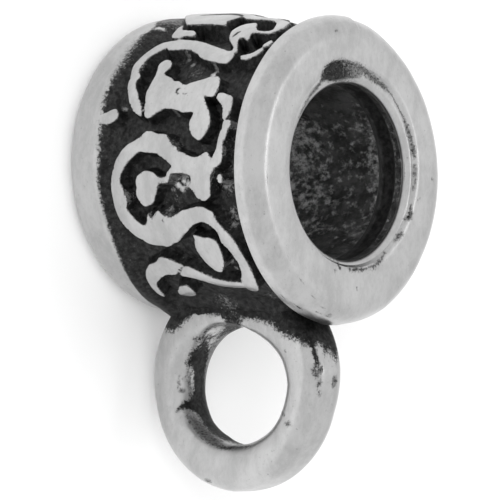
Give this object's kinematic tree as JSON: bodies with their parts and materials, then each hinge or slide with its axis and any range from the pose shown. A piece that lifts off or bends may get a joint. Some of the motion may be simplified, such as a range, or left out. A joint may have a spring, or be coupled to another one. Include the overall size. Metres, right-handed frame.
{
  "type": "tube bail",
  "caption": "Short cast metal tube bail with raised scrollwork between two plain rims and a round loop below that carries a drop.",
  "frame": {"origin": "centre of the bore at the back face, on the surface that the bail stands on", "axes": "+Z along the bore towards the front face, +X towards the loop"},
  "size_m": [0.0138, 0.0086, 0.0072],
  "materials": {
    "antiqued_silver": "polished high spots over blackened, grainy recesses"
  },
  "bodies": {
    "root": {"bail": "antiqued_silver"}
  },
  "joints": []
}
